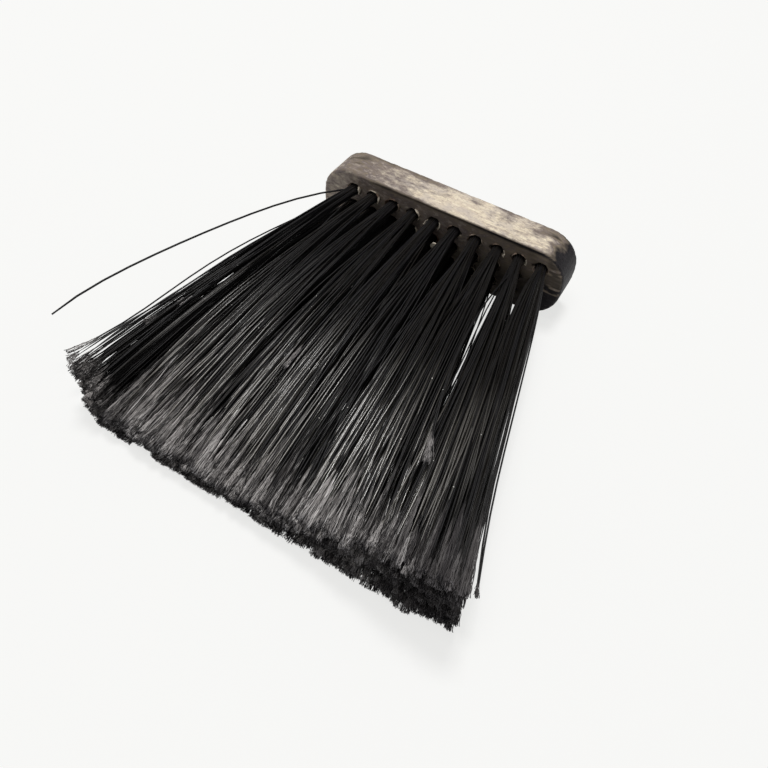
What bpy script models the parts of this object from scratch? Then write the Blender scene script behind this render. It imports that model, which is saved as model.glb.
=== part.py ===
"""Hearth brush head: an oblong wooden block with three rows of bristle tufts.

The head lies on one long side, as it does when it is put down. Its origin is the centre of the
block's flat back, +X runs along the block, +Z is up, across the block's width, and the bristles
point along -Y. They are worn: most of them sag to the surface that the head lies on, and
those at the right-hand end still stand as thick as the block is wide. Lengths are in metres.
"""

from math import cos, hypot, pi, radians, sin, tan
from random import Random

import bmesh
import bpy
from mathutils import Matrix, Vector

# Block
BLOCK_LENGTH = 0.105
BLOCK_WIDTH = 0.030
BLOCK_DEPTH = 0.015
END_FLAT = 0.004
EDGE_ROUND = 0.0007
CORNER_STEPS = 8
EDGE_STEPS = 2
EDGE_ANGLE = 50

# Hole pattern, on the bristle face
COLUMNS = 10
ROWS = ("bottom", "middle", "top")
LEFT_MARGIN = 0.01425
RIGHT_MARGIN = 0.00975
ROW_PITCH = 0.0075
ROW_SPLAY = 1.8

# Holes: blind, drilled with a pointed bit, with the grooves that the anchors cut going in
HOLE_DIAMETER = 0.005
HOLE_FLOOR = 0.0045
DRILL_POINT = 0.0012
HOLE_SIDES = 16
FIT_GAP = 0.0003
CUT_OVERRUN = 0.002

# Anchors: flat strip, whose ends bite into the wood on both sides of the hole
ANCHOR_BITE = 0.0004
ANCHOR_HEIGHT = 0.0026
ANCHOR_THICKNESS = 0.0005
FOLD_UNDER_ANCHOR = 0.0015

# Tuft roots: the packed bunch in the hole, and the neck where it swells as it leaves
ROOT_SIDES = 10
FOLD_ROUND = 0.0012
FOLD_END_SHARE = 0.6
NECK_LENGTH = 0.0025
NECK_RIM = 0.0002
STRAND_SINK = 0.0005

# Strands: three-sided, each for a few filaments, in columns of 2 or 3 across a tuft, and made in steps
# that are counted for the bottom, middle and top rows
STRAND_COUNTS = (2, 3, 3, 3, 2)
STRAND_STEP_COUNTS = (2, 2, 3)
STRAND_RADIUS = 0.0004
TIP_RADIUS = 0.0005
STRAND_GAP = 0.00025
LEVEL_GAP = 0.0006
BRISTLE_REACH = 0.128
TRIM_SCATTER = 0.0025

# Fan: how far the outer tips stand out from the outer holes, and how the tips are piled
LEFT_FLARE = 0.02825
RIGHT_FLARE = 0.03375
PILE_GAP = 0.00025
PACK_TOP_GAP = 0.0006
LIFT_START_SHARE = 0.44
LEFT_PACK = 0.0235
LEFT_LIFT_SHARE = 0.1
LEFT_TRIM = 0.004
TIP_SCATTER = 0.0006
SCATTER_SHARE = 0.8
SCATTER_SEED = 7

# One stray filament of the first top tuft: its points from the hole's mouth, as shares of the reach
STRAY_ROUTE_SHARES = (
    (-0.063, -0.083, 0.008),
    (-0.163, -0.312, 0.027),
    (-0.214, -0.450, 0.031),
    (-0.278, -0.633, 0.027),
    (-0.317, -0.755, 0.016),
    (-0.344, -0.822, 0.004),
    (-0.357, -0.881, -0.012),
)

# Sizes that follow from those above
END_RADIUS = (BLOCK_WIDTH - END_FLAT) / 2
COLUMN_PITCH = (BLOCK_LENGTH - LEFT_MARGIN - RIGHT_MARGIN) / (COLUMNS - 1)
FIRST_HOLE_X = LEFT_MARGIN - BLOCK_LENGTH / 2
LAST_HOLE_X = BLOCK_LENGTH / 2 - RIGHT_MARGIN
FLOOR_Z = -BLOCK_WIDTH / 2
HOLE_DEPTH = BLOCK_DEPTH - HOLE_FLOOR
ANCHOR_WIDTH = HOLE_DIAMETER + 2 * ANCHOR_BITE
ANCHOR_BOTTOM = FOLD_UNDER_ANCHOR - HOLE_DEPTH
ROOT_RADIUS = HOLE_DIAMETER / 2 - FIT_GAP

# A three-sided strand is this many radii wide and high
STRAND_WIDTH_SHARE = 3 ** 0.5
STRAND_HEIGHT_SHARE = 1.5
STRAND_WIDTH = STRAND_RADIUS * STRAND_WIDTH_SHARE
STRAND_HEIGHT = STRAND_RADIUS * STRAND_HEIGHT_SHARE
TIP_HEIGHT = TIP_RADIUS * STRAND_HEIGHT_SHARE
STRAND_PITCH = STRAND_WIDTH + STRAND_GAP
LEVEL_PITCH = STRAND_HEIGHT + LEVEL_GAP
NECK_REACH_X = STRAND_PITCH * (len(STRAND_COUNTS) - 1) / 2 + STRAND_WIDTH / 2
NECK_REACH_Z = LEVEL_PITCH * (STRAND_COUNTS[0] - 1) / 2 + STRAND_RADIUS
NECK_RADIUS = hypot(NECK_REACH_X, NECK_REACH_Z) / cos(pi / ROOT_SIDES) + NECK_RIM

# Across the whole fan the tips lie in columns, at most this many strands high
FAN_COLUMNS = COLUMNS * len(STRAND_COUNTS)
FAN_LEFT = FIRST_HOLE_X - LEFT_FLARE
FAN_RIGHT = LAST_HOLE_X + RIGHT_FLARE
FAN_PITCH = (FAN_RIGHT - FAN_LEFT) / (FAN_COLUMNS - 1)
MOST_LEVELS = len(ROWS) * max(STRAND_COUNTS)
LOW_PACK = (MOST_LEVELS - 1) * (TIP_HEIGHT + PILE_GAP)
HIGH_PACK = BLOCK_WIDTH - TIP_HEIGHT - PACK_TOP_GAP


def clear_scene():
    """Start from an empty scene."""
    for item in list(bpy.data.objects):
        bpy.data.objects.remove(item, do_unlink=True)


def make_material(name, color, roughness, metallic):
    """A Principled material."""
    material = bpy.data.materials.new(name)
    material.use_nodes = True
    shader = material.node_tree.nodes["Principled BSDF"]
    shader.inputs["Base Color"].default_value = (*color, 1)
    shader.inputs["Roughness"].default_value = roughness
    shader.inputs["Metallic"].default_value = metallic
    return material


def make_object(name, bm, material=None):
    """Link an object made of a bmesh, with its faces pointing out."""
    bmesh.ops.recalc_face_normals(bm, faces=bm.faces)
    mesh = bpy.data.meshes.new(name)
    bm.to_mesh(mesh)
    bm.free()
    item = bpy.data.objects.new(name, mesh)
    bpy.context.scene.collection.objects.link(item)
    if material:
        mesh.materials.append(material)
    return item


def make_cutter(name, bm):
    """An object that only cuts others."""
    cutter = make_object(name, bm)
    cutter.hide_render = True
    cutter.display_type = "WIRE"
    return cutter


def add_boolean(item, operation, tool):
    """Cut or join a tool's shape, leaving the modifier on the object."""
    modifier = item.modifiers.new(tool.name, "BOOLEAN")
    modifier.operation = operation
    modifier.solver = "EXACT"
    modifier.object = tool


def apply_modifiers(item):
    """Make an object's modifiers part of its mesh."""
    bpy.context.view_layer.update()
    graph = bpy.context.evaluated_depsgraph_get()
    shaped = bpy.data.meshes.new_from_object(item.evaluated_get(graph))
    plain = item.data
    item.modifiers.clear()
    item.data = shaped
    bpy.data.meshes.remove(plain)


def add_turned(bm, profile, sides, placing):
    """Turn a profile of radii and heights about Z. Its ends are flat, or a point on the axis."""
    rings = []
    for radius, height in profile:
        if radius == 0:
            rings.append([bm.verts.new(placing @ Vector((0, 0, height)))])
            continue
        ring = []
        for side in range(sides):
            angle = 2 * pi * side / sides
            ring.append(bm.verts.new(placing @ Vector((radius * cos(angle), radius * sin(angle), height))))
        rings.append(ring)
    for lower, upper in zip(rings, rings[1:]):
        for side in range(sides):
            after = (side + 1) % sides
            corners = [lower[side % len(lower)], lower[after % len(lower)],
                       upper[after % len(upper)], upper[side % len(upper)]]
            bm.faces.new(list(dict.fromkeys(corners)))
    for ring in (rings[0], rings[-1]):
        if len(ring) > 1:
            bm.faces.new(ring)


def add_box(bm, low, high, placing):
    """A box between two corners."""
    made = bmesh.ops.create_cube(bm, size=1)["verts"]
    size = Vector(high) - Vector(low)
    middle = (Vector(high) + Vector(low)) / 2
    for vert in made:
        vert.co = placing @ (Vector(a * b for a, b in zip(vert.co, size)) + middle)


def hole_mouth(column, row):
    """The centre of a hole's mouth, on the bristle face."""
    x = FIRST_HOLE_X + column * COLUMN_PITCH
    z = (row - (len(ROWS) - 1) / 2) * ROW_PITCH
    return Vector((x, -BLOCK_DEPTH, z))


def tuft_aim(column, row):
    """Where a tuft's middle would reach the trim line if it stood as straight as its hole."""
    mouth = hole_mouth(column, row)
    first = column * len(STRAND_COUNTS)
    middle = first + (len(STRAND_COUNTS) - 1) / 2
    rise = (row - (len(ROWS) - 1) / 2) * tan(radians(ROW_SPLAY)) * BRISTLE_REACH
    return Vector((FAN_LEFT + middle * FAN_PITCH, mouth.y - BRISTLE_REACH, mouth.z + rise))


def tuft_placing(column, row):
    """A hole's frame: its origin at the mouth, Z out along the hole, and X along the block."""
    mouth = hole_mouth(column, row)
    outward = (tuft_aim(column, row) - mouth).normalized()
    along = Vector((1, 0, 0))
    along = (along - along.dot(outward) * outward).normalized()
    across = outward.cross(along)
    turn = Matrix((along, across, outward)).transposed().to_4x4()
    return Matrix.Translation(mouth) @ turn


def all_tufts():
    """Each tuft's column and row."""
    return [(column, row) for row in range(len(ROWS)) for column in range(COLUMNS)]


def make_hole_cutter():
    """All the drilled holes."""
    bm = bmesh.new()
    radius = HOLE_DIAMETER / 2
    profile = ((0, -HOLE_DEPTH - DRILL_POINT), (radius, -HOLE_DEPTH), (radius, CUT_OVERRUN))
    for column, row in all_tufts():
        add_turned(bm, profile, HOLE_SIDES, tuft_placing(column, row))
    return make_cutter("hole_cutter", bm)


def make_groove_cutter():
    """The grooves that the anchors' ends cut in the hole walls, from the mouth to their seats."""
    bm = bmesh.new()
    half_width = ANCHOR_WIDTH / 2 + FIT_GAP
    half_thickness = ANCHOR_THICKNESS / 2 + FIT_GAP
    low = (-half_width, -half_thickness, ANCHOR_BOTTOM - FIT_GAP)
    high = (half_width, half_thickness, CUT_OVERRUN)
    for column, row in all_tufts():
        add_box(bm, low, high, tuft_placing(column, row))
    return make_cutter("groove_cutter", bm)


def make_block(material):
    """The block: an oblong with rounded ends and softened edges, drilled for the tufts."""
    bm = bmesh.new()
    outline = []
    for quarter, (side_x, side_z) in enumerate(((1, 1), (-1, 1), (-1, -1), (1, -1))):
        centre_x = side_x * (BLOCK_LENGTH / 2 - END_RADIUS)
        centre_z = side_z * END_FLAT / 2
        for step in range(CORNER_STEPS + 1):
            angle = pi / 2 * (quarter + step / CORNER_STEPS)
            x = centre_x + END_RADIUS * cos(angle)
            z = centre_z + END_RADIUS * sin(angle)
            outline.append(bm.verts.new((x, 0, z)))
    back = bm.faces.new(outline)
    front = bmesh.ops.extrude_face_region(bm, geom=[back])["geom"]
    moved = [part for part in front if isinstance(part, bmesh.types.BMVert)]
    bmesh.ops.translate(bm, verts=moved, vec=(0, -BLOCK_DEPTH, 0))
    block = make_object("block", bm, material)
    bevel = block.modifiers.new("softened_edges", "BEVEL")
    bevel.width = EDGE_ROUND
    bevel.segments = EDGE_STEPS
    bevel.limit_method = "ANGLE"
    bevel.angle_limit = radians(EDGE_ANGLE)
    add_boolean(block, "DIFFERENCE", make_hole_cutter())
    add_boolean(block, "DIFFERENCE", make_groove_cutter())
    block.data.shade_smooth()
    block.data.set_sharp_from_angle(angle=radians(EDGE_ANGLE))
    return block


def left_share(x):
    """How near x is to the fan's left-hand edge: 1 there, and 0 where the pack of tips lies low."""
    share = (x - FAN_LEFT) / (FAN_RIGHT - FAN_LEFT)
    return max(0, 1 - share / LEFT_LIFT_SHARE)


def pack_height(x):
    """How high the pack of tips is at x: low along the fan's middle, and higher towards both edges."""
    share = (x - FAN_LEFT) / (FAN_RIGHT - FAN_LEFT)
    share = min(1, max(0, (share - LIFT_START_SHARE) / (1 - LIFT_START_SHARE)))
    lift = share * share * (3 - 2 * share)
    return LOW_PACK + (HIGH_PACK - LOW_PACK) * lift + (LEFT_PACK - LOW_PACK) * left_share(x)


def tip_place(column, row, across, level, scatter):
    """Where a strand's tip lies: its column across the fan, and its level in the pile there."""
    fan_column = column * len(STRAND_COUNTS) + across
    in_tuft = STRAND_COUNTS[across]
    levels = in_tuft * len(ROWS)
    x = FAN_LEFT + fan_column * FAN_PITCH
    pitch = pack_height(x) / (levels - 1)
    room = max(0, pitch - TIP_HEIGHT - PILE_GAP) * SCATTER_SHARE
    # The lowest corners of a three-sided strand are half a radius under its centre.
    z = FLOOR_Z + TIP_RADIUS / 2 + (row * in_tuft + level) * pitch
    if row > 0 or level > 0:
        z += scatter.uniform(-room / 2, room / 2)
    z = min(z, FLOOR_Z + TIP_RADIUS / 2 + HIGH_PACK)
    x += scatter.uniform(-TIP_SCATTER, TIP_SCATTER)
    return Vector((x, -BLOCK_DEPTH - BRISTLE_REACH, z))


def strand_route(root, tip, aim_z, steps, trimmed):
    """Points from root to tip: straight seen from above, and leaving the hole in its direction."""
    points = []
    for step in range(steps + 1):
        share = (1 - trimmed / BRISTLE_REACH) * step / steps
        point = root.lerp(tip, share)
        point.z = root.z + (aim_z - root.z) * share + (tip.z - aim_z) * share ** 2
        points.append(point)
    return points


def add_strand(bm, points):
    """A three-sided rod along points, its ends and joints square to Y, that widens to its tip."""
    rings = []
    for step, point in enumerate(points):
        radius = STRAND_RADIUS + (TIP_RADIUS - STRAND_RADIUS) * step / (len(points) - 1)
        ring = []
        for side in range(3):
            angle = pi / 2 + 2 * pi * side / 3
            ring.append(bm.verts.new(point + radius * Vector((cos(angle), 0, sin(angle)))))
        rings.append(ring)
    for inner, outer in zip(rings, rings[1:]):
        for side in range(3):
            after = (side + 1) % 3
            bm.faces.new((inner[side], inner[after], outer[after], outer[side]))
    bm.faces.new(rings[0])
    bm.faces.new(rings[-1])


def make_strands(column, row, placing, scatter):
    """A tuft's strands, in the tuft's own frame."""
    bm = bmesh.new()
    mouth = hole_mouth(column, row)
    rise = tuft_aim(column, row).z - mouth.z
    for across, in_tuft in enumerate(STRAND_COUNTS):
        for level in range(in_tuft):
            side = (across - (len(STRAND_COUNTS) - 1) / 2) * STRAND_PITCH
            height = (level - (in_tuft - 1) / 2) * LEVEL_PITCH
            root = placing @ Vector((side, height, NECK_LENGTH - STRAND_SINK))
            tip = tip_place(column, row, across, level, scatter)
            trimmed = scatter.uniform(0, TRIM_SCATTER) + LEFT_TRIM * left_share(tip.x)
            points = strand_route(root, tip, root.z + rise, STRAND_STEP_COUNTS[row], trimmed)
            first = column == 0 and across == 0
            if first and ROWS[row] == "top" and level == in_tuft - 1:
                places = [mouth + BRISTLE_REACH * Vector(share) for share in STRAY_ROUTE_SHARES]
                points = [root] + places
            add_strand(bm, points)
    bmesh.ops.transform(bm, matrix=placing.inverted(), verts=bm.verts)
    return make_cutter("strands", bm)


def make_tuft(column, row, material, scatter):
    """A tuft with its anchor: the folded root in its hole, its neck and its strands."""
    placing = tuft_placing(column, row)
    bottom = FIT_GAP - HOLE_DEPTH
    profile = ((ROOT_RADIUS * FOLD_END_SHARE, bottom), (ROOT_RADIUS, bottom + FOLD_ROUND),
               (ROOT_RADIUS, 0), (NECK_RADIUS, NECK_LENGTH))
    bm = bmesh.new()
    add_turned(bm, profile, ROOT_SIDES, Matrix())
    tuft = make_object(f"tuft_{ROWS[row]}_{column + 1:02d}", bm, material)
    bm = bmesh.new()
    low = (-ANCHOR_WIDTH / 2, -ANCHOR_THICKNESS / 2, ANCHOR_BOTTOM)
    high = (ANCHOR_WIDTH / 2, ANCHOR_THICKNESS / 2, ANCHOR_BOTTOM + ANCHOR_HEIGHT)
    add_box(bm, low, high, Matrix())
    anchor = make_cutter("anchor", bm)
    strands = make_strands(column, row, placing, scatter)
    add_boolean(tuft, "UNION", anchor)
    add_boolean(tuft, "UNION", strands)
    apply_modifiers(tuft)
    bpy.data.objects.remove(anchor, do_unlink=True)
    bpy.data.objects.remove(strands, do_unlink=True)
    tuft.matrix_world = placing
    return tuft


def main():
    """Build the brush head."""
    clear_scene()
    wood = make_material("stained_wood", (0.23, 0.19, 0.16), 0.6, 0)
    bristle = make_material("black_bristle", (0.03, 0.028, 0.027), 0.4, 0)
    scatter = Random(SCATTER_SEED)
    make_block(wood)
    for column, row in all_tufts():
        make_tuft(column, row, bristle, scatter)


main()
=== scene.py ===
"""The looks of the hearth brush head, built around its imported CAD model.

Every CAD strand is the guide for a few real filaments. A filament is folded round the steel anchor
at the bottom of its hole, so that both its ends stand out of the block, and every end but the long
stray one's is split into fine fibrils. The block is the CAD block with a finer surface, worn and
torn where the real one is. Lengths are in metres.
"""

from math import radians

import bpy
import numpy as np
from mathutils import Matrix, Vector, noise


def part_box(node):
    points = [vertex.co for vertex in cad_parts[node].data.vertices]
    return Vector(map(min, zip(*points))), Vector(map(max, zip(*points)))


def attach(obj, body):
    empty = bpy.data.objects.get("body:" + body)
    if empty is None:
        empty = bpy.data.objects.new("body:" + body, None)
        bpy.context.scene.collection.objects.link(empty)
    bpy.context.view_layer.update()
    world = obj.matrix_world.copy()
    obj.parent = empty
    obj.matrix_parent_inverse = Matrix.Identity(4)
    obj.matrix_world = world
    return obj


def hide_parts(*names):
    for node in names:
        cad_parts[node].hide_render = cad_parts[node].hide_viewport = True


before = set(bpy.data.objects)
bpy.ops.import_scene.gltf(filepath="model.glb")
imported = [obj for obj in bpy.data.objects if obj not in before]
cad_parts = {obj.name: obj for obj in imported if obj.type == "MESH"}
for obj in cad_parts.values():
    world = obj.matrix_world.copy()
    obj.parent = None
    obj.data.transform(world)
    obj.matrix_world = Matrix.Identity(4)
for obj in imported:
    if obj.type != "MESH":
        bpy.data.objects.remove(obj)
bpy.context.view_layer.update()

BLOCK_LOW, BLOCK_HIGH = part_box("block")
FLOOR_Z = BLOCK_LOW.z
SEED = 20
ROW_SEED_STEP = 100

# Camera, fitted to the photograph
CAMERA_PLACE = (0.08002, -0.21175, 0.17708)
CAMERA_TURN = (37.790, -3.775, 30.838)
CAMERA_LENS = 32.27
SENSOR_WIDTH = 36
CLIP_START = 0.01

# Area lights: place, size and power
LIGHTS = {
    "wide": ((-0.30, -0.35, 1.93), 0.7, 9),
    "narrow": ((-0.22, 0.42, 1.92), 0.45, 24),
}
LIGHT_TARGET = (0, -0.07, 0)

# Sky and floor. The camera sees them paler than the light that they give, so that they stay plain.
SKY_LIGHT = 0.2
SKY_SEEN = (0.94, 0.94, 0.925)
FLOOR_HALF_SIDE = 1.5
FLOOR_GAP = 0.0002
FLOOR_COLOR = (0.9, 0.9, 0.89)
FLOOR_ROUGHNESS = 0.9
FLOOR_SEEN = (0.96, 0.96, 0.945)
FLOOR_SEEN_SHARE = 0.75

# Block: its shape, and its map, where the pieces of its sides, hole walls and hole floors lie apart
END_RADIUS = 0.013
FINE_STEP = 0.0005
DENT_REACH = 0.0016
DENT_DEPTH = 0.00035
SURFACE_WAVE = 0.00006
HOLE_RADIUS = 0.0025
HOLE_DEPTH = 0.0105
MAP_SIZE = 0.160
MAP_GAP = 0.002
MAP_MARGIN_SHARE = 0.005
HOLE_FLOOR_FACING = 0.6
WALL_PITCH_SHARE = 0.98
WALL_WIDTH_SHARE = 0.94

# Noise on the block: the size of its features along x, y and z, and a shift that sets it apart
PATCH_NOISE = ((0.009, 0.0035, 0.0035), 3.1)
STREAK_NOISE = ((0.0035, 0.0012, 0.0012), 7.7)
DENT_NOISE = ((0.0028, 0.0012, 0.0012), 1.3)
WAVE_NOISE = ((0.011, 0.004, 0.004), 5.5)

# How the stain is worn and where shade is painted on the face: by how much in all, and the value at which
# each starts and is whole. The value is how far a side faces that way, the strength of the streaks, or a
# place along x, y or z.
WEAR_AND_SHADE = {
    "facing up": (1, 0.3, 0.85),
    "facing": (1, 0.5, 0.9),
    "left wall": (0.52, 0.5, 0.9),
    "middle": (0.50, -0.034, 0.007),
    "middle thins": (0.6, 0.008, 0.022),
    "middle ends": (1, 0.047, 0.040),
    "right half": (0.12, 0.0, 0.020),
    "dark right end": (1, BLOCK_HIGH.x - 0.0125, BLOCK_HIGH.x - 0.0050),
    "darker left end": (0.12, -0.030, -0.040),
    "darker back edge": (0.5, -0.0050, -0.0006),
    "left of face": (0.12, -0.030, -0.048),
    "right of face": (0.11, 0.0, 0.040),
    "lower band starts": (1, -0.0035, -0.0020),
    "lower band ends": (1, 0.0025, 0.0010),
    "upper band starts": (1, 0.0060, 0.0070),
    "upper band ends": (1, 0.0100, 0.0085),
    "streaked": (1, -0.1, 0.3),
    "banded end": (1, 0.0435, 0.0460),
    # Painted shade on the front face: a dark line under its top edge, and its lower part darker
    "shade line under edge": (0.24, 0.0125, 0.0140),
    "shade line starts": (1, -0.036, -0.026),
    "lower face": (0.16, 0.0030, -0.0020),
    "lower face starts": (1, -0.046, -0.040),
}
TOP_WEAR = 0.38
FACE_WEAR = 0.335
SIDE_WEAR = 0.005
BACK_WEAR = 0.10
BAND_WEAR = 0.26
BETWEEN_BANDS = 0.13

# How much patches and streaks change the wear of each side, and how far they shift the wear's edges
TOP_MOTTLE = (0.3, 0.16)
SIDE_MOTTLE = (0.03, 0.03)
BACK_MOTTLE = (0.04, 0.03)
RIGHT_RAGGED = (0.004, 0.002)
LEFT_RAGGED = 0.009
BACK_RAGGED = 0.005

# Torn wood round the holes' mouths. Faint slivers, painted dim as shade, stand anywhere to the left and right
# of a hole.
RIM_STEPS = 9
RIM_HEIGHT = (0.0005, 0.0014)
RIM_THICKNESS = 0.0003
RIM_TOP_SHARE = 0.5
RIM_SINK = 0.0004
RIM_GAP = 0.00005
RIM_LEAN = 0.5
RIM_POWER = 0.6
RIM_NOTCHES = (0.55, 1)
FAINT_RIM_CHANCE = 0.35
FAINT_RIM_MIDDLES = (0, 180)
FAINT_RIM_SCATTER = 30
FAINT_RIM_HALF_ANGLE = (10, 30)
FAINT_RIM_TONE = 0.22
RIM_MAP_ROWS = 6

# The torn slivers that stand out: the angle of the middle round the hole from its right, half the angle that
# it takes up, its height, its paleness, low where it is painted red-brown as shade, and how far it leans
# outwards if more than the rest
TORN_RIMS = {
    "tuft_top_01": ((10, 38, 0.0018, 0.9),),
    "tuft_top_02": ((105, 42, 0.0012, 0.7), (0, 34, 0.0020, 1.0)),
    "tuft_top_03": ((165, 40, 0.0018, 0.12), (110, 40, 0.0012, 0.16), (10, 30, 0.0010, 0.3)),
    "tuft_top_04": ((40, 40, 0.0015, 0.8), (-10, 25, 0.0012, 0.5)),
    "tuft_top_05": ((195, 24, 0.0018, 0.9), (-5, 36, 0.0014, 0.9)),
    "tuft_top_06": ((150, 30, 0.0010, 0.2),),
    "tuft_top_07": ((140, 36, 0.0012, 0.3), (10, 30, 0.0014, 0.35)),
    "tuft_top_08": ((0, 28, 0.0022, 0.9), (110, 30, 0.0008, 0.2)),
    "tuft_top_09": ((0, 26, 0.0018, 0.8), (160, 30, 0.0010, 0.3)),
    "tuft_top_10": ((5, 34, 0.0012, 0.25),),
    "tuft_middle_04": ((30, 24, 0.0016, 0.9),),
    "tuft_middle_05": ((12, 36, 0.0012, 0.02, 1.4), (-52, 20, 0.0012, 0.4, 0.8)),
    "tuft_middle_07": ((0, 30, 0.0012, 0.3),),
    "tuft_middle_08": ((30, 24, 0.0012, 0.6),),
    "tuft_middle_10": ((200, 18, 0.0012, 0.9),),
    "tuft_bottom_07": ((45, 24, 0.0012, 0.6),),
}

# A splinter that stands up from a hole's rim, red-brown as painted shade, and its pale broken end, which is
# partly
# a painted glint: for each the two ends, half the width across, and the paleness. The shares are of that half
# width, from one end to the other.
SPLINTERS = (
    ((-0.0004, -0.0150, -0.0016), (0.0016, -0.0199, 0.0020), (0.0015, 0.0005, 0), 0.04),
    ((0.0002, -0.0201, 0.0009), (0.0022, -0.0201, 0.0028), (0.0006, -0.0002, -0.0006), 1.0),
)
SPLINTER_SHARES = (0.55, 0.9, 1, 0.8, 0.35)

# Tufts
ROWS = ("bottom", "middle", "top")
COLUMNS = 10
TUFT_NAMES = [f"tuft_{row}_{column + 1:02d}" for row in ROWS for column in range(COLUMNS)]
GUIDE_COLUMNS = (2, 3, 3, 3, 2)
GUIDE_LEVEL_STEPS = 2.5
NECK_LENGTH = 0.0025
REACH = 0.128

# Reading the CAD strands: those with as many points as a stray one's are stray
WELD_DIGITS = 7
RING_DIGITS = 5
RING_TOLERANCE = 0.00002
STRAY_POINTS = 6
ROUTE_DEGREE = 2
STRAY_DEGREE = 4

# Filaments, and how they are folded in their holes
FOLDED_FILAMENTS = 34
SPIRAL_SPOTS = 3 * FOLDED_FILAMENTS
PACK_RADIUS = 0.00225
FILAMENT_RADIUS = 0.00026
FILAMENT_SIDES = 6
ARM_STEPS = 13
ROOT_STEPS = 4
FOLD_STEPS = 6
FOLD_DEPTH = 0.0004
FOLD_DEPTH_SHARE = 0.45
END_THICKNESS_SHARE = 0.3
SHARP_ANGLE = 65
MOST_TURN = 6

# A direction that no filament has, from which the sides of a tube are counted
TUBE_SIDE = (0.03, 0.02, 1)

# How far out the filaments are trimmed, as shares of the reach, and how unevenly. A few end short.
TRIM_REACH_SHARES = {"bottom": 1.012, "middle": 1.004, "top": 1.016, "tuft_bottom_10": 1.000}
TRIM_SCATTER_SHARES = {"bottom": 0.0045, "middle": 0.010, "top": 0.014}
TRIM_POWER = 1.5
SHORT_CHANCE = 0.008
SHORT_REACH_SHARES = (0.6, 0.92)

# How far the tips stray from their guides' along x, y and z: by shares of the guides' pitch, with their
# guide, and for the wild ones by themselves
SPREAD_SHARES = (1.8, 0, 1.3)
CLUMP_SPREAD = (0.0006, 0, 0.0004)
WILD_CHANCE = 0.12
WILD_SPREAD = (0.0035, 0, 0.0012)
BOTTOM_PRESS = 0.0008

# How the filaments bow and ripple on the way out, and the powers by which they gather to their tips
BOW_SPREAD = (0.0008, 0, 0.0008)
EDGE_BOW_SHARE = 0.4
BOW_WAVE_SHARE = 0.4
RIPPLE_SPREAD = (0.00016, 0, 0.00016)
HALF_RIPPLES = 4.3
GATHER_POWERS = (0.7, 1.8)
EDGE_GATHER_POWERS = (0.7, 1.2)

# Filaments stay this far above the floor, and are pressed flatter within that height over it
FLOOR_CLEARANCE = 0.0004
PRESS_HEIGHT = 0.002

# How far the tips of the outer columns may stand past their guides', and how far those past it fold in
EDGE_OVERHANGS = {"01": 0.0006, "10": -0.0012}
EDGE_FOLD_SHARE = 1.6

# The filaments thin out over this width of the trim at the left edge
SPARSE_COLUMN = "01"
SPARSE_WIDTH = 0.006
SPARSE_POWER = 0.6

# How far the tips of a tuft lean to the side of its guides' or lie above them, which opens the dark wedge
# at the left and the gaps between some tufts, and trims the edge at the right
LEANS = {
    "tuft_top_02": 0.0024,
    "tuft_middle_02": 0.0012,
    "tuft_bottom_03": 0.0035,
    "tuft_bottom_07": 0.0015,
    "tuft_bottom_08": -0.0008,
    "tuft_top_10": 0.0002,
    "tuft_middle_10": -0.0006,
    "tuft_bottom_10": -0.0002,
}
LIFTS = {"tuft_top_01": 0.0010}

# How far a column's tufts, or one tuft, bow to the side halfway along, which shapes the gaps beside them
SIDE_BOWS = {"08": -0.0012, "09": 0.0009, "tuft_bottom_04": -0.0026}

# How far a column's tufts swell to both sides a quarter of the way out, the share of it that is added at
# the left and taken off at the right, and the most that the swelling's curve comes to
SWELLS = {"10": 0.0021}
SWELL_LEFT_SHARE = 0.35
SWELL_PEAK = 0.25 * 0.75 ** 3

# Single filaments that stand apart or end short of the trim: the length, radius and paleness of the
# split end, and places on the way out
LOOSE_FILAMENTS = {
    "tuft_top_01": (
        (0.012, 0.0009, 0.45, (
            (-0.0397, -0.0232, 0.0070), (-0.0496, -0.0492, 0.0068), (-0.0582, -0.0843, 0.0062),
            (-0.0600, -0.0963, 0.0056), (-0.0643, -0.1134, 0.0040), (-0.0727, -0.1344, 0.0010))),
        (0.009, 0.0012, 0.5, (
            (-0.0420, -0.0500, 0.0098), (-0.0480, -0.0860, 0.0096), (-0.0525, -0.1030, 0.0082))),
        (0.007, 0.0009, 0.4, (
            (-0.0430, -0.0500, 0.0092), (-0.0505, -0.0930, 0.0088), (-0.0560, -0.1150, 0.0072))),
    ),
    "tuft_top_09": (
        (0.014, 0.0016, 0.55, (
            (0.0345, -0.0500, 0.0118), (0.0426, -0.0985, 0.0124), (0.0476, -0.1131, 0.0110))),
        (0.013, 0.0016, 0.65, (
            (0.0347, -0.0500, 0.0120), (0.0431, -0.0985, 0.0122), (0.0482, -0.1131, 0.0108))),
    ),
    "tuft_top_10": (
        (0.004, 0.0004, 0.3, (
            (0.0506, -0.0361, 0.0074), (0.0598, -0.0744, 0.0068), (0.0662, -0.1005, 0.0058),
            (0.0720, -0.1220, 0.0042), (0.0769, -0.1364, 0.0020))),
        (0.004, 0.0004, 0.3, (
            (0.0502, -0.0361, 0.0076), (0.0589, -0.0744, 0.0070), (0.0653, -0.1005, 0.0060),
            (0.0713, -0.1220, 0.0044), (0.0765, -0.1360, 0.0024))),
    ),
}
STRAY_THICKNESS_SHARE = 1.4
LOOSE_THICKNESS_SHARE = 1.05
LOOSE_END_SHARE = 0.8
LOOSE_RIPPLE_SHARE = 0.3
LOOSE_TONE = 0.3

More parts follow.
